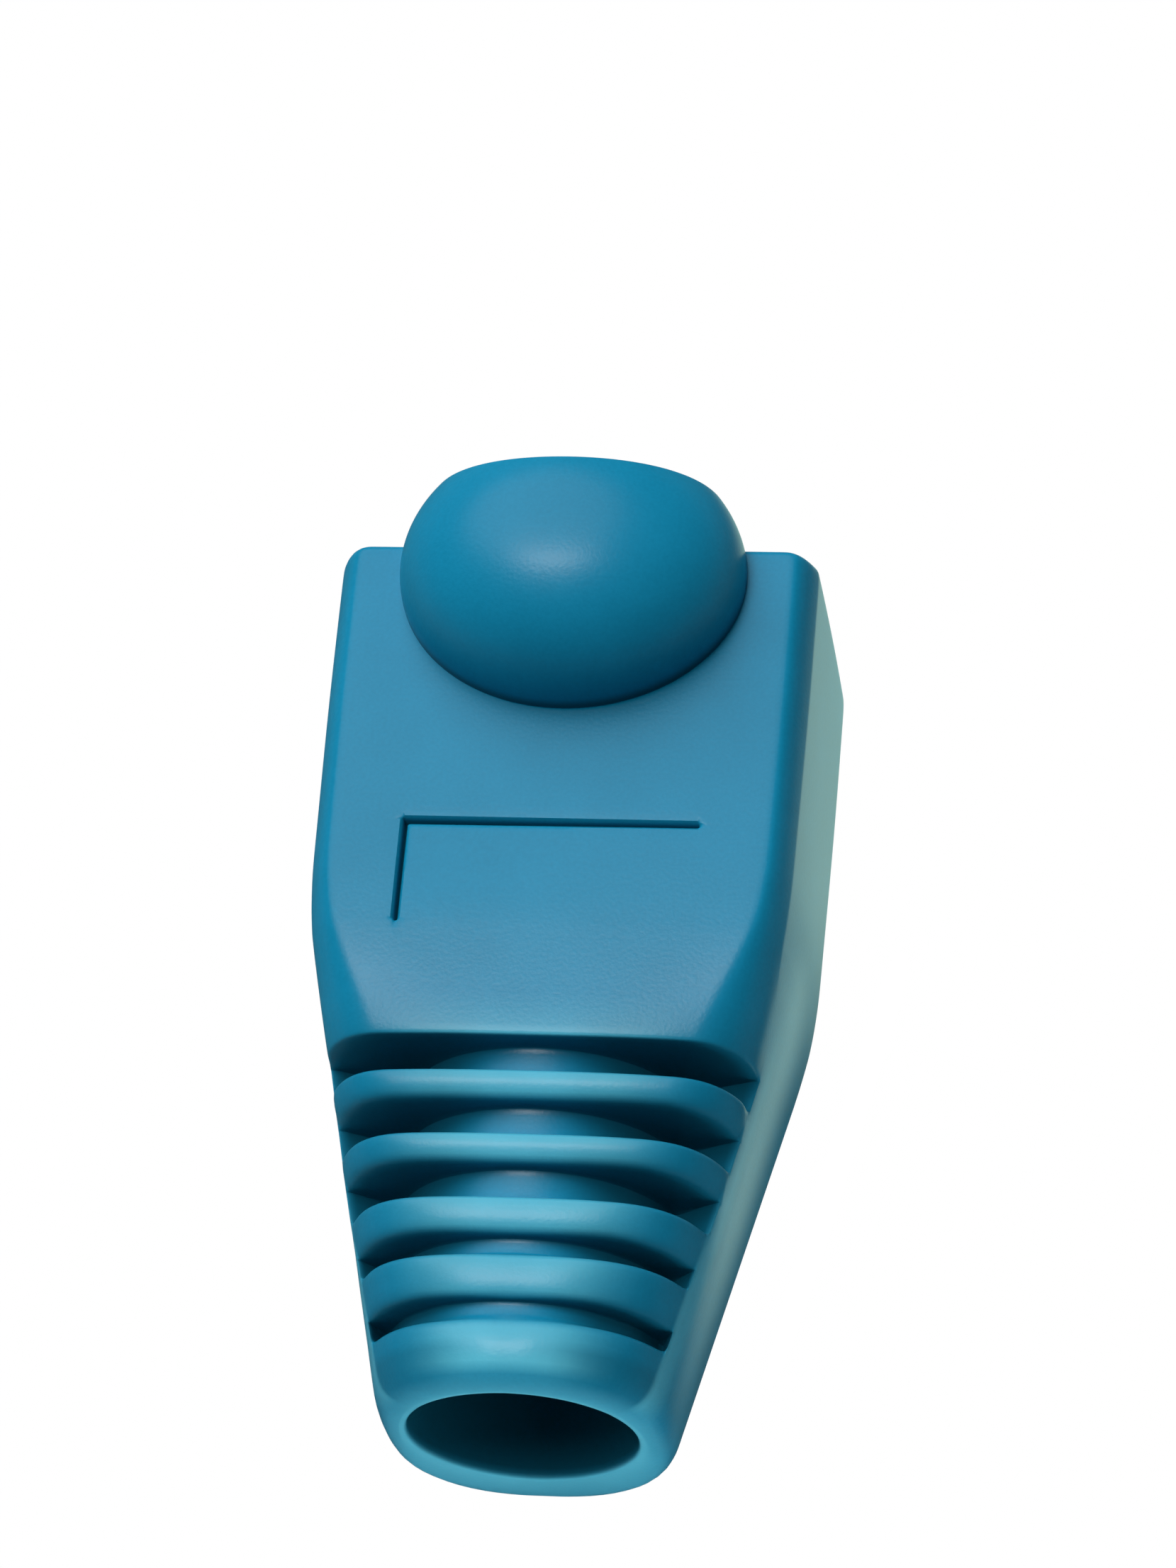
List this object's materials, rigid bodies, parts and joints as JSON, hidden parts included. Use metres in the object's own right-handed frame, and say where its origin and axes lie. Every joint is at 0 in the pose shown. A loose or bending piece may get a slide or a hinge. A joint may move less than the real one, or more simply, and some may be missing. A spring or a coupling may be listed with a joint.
{
  "type": "rj45 strain relief boot",
  "caption": "Flexible moulded boot for an RJ45 patch lead: plug sleeve with a latch hood and a ribbed, tapered tail around the cable.",
  "frame": {"origin": "on the axis of the cable bore, where the cable leaves the tail", "axes": "+Y along the bore towards the plug, +Z to the side of the plug's latch, X across the plug's width"},
  "size_m": [0.014, 0.0267, 0.0134],
  "materials": {
    "boot_pvc": "flexible PVC moulded in teal blue, fine satin grain"
  },
  "bodies": {
    "root": {"boot": "boot_pvc"}
  },
  "joints": []
}
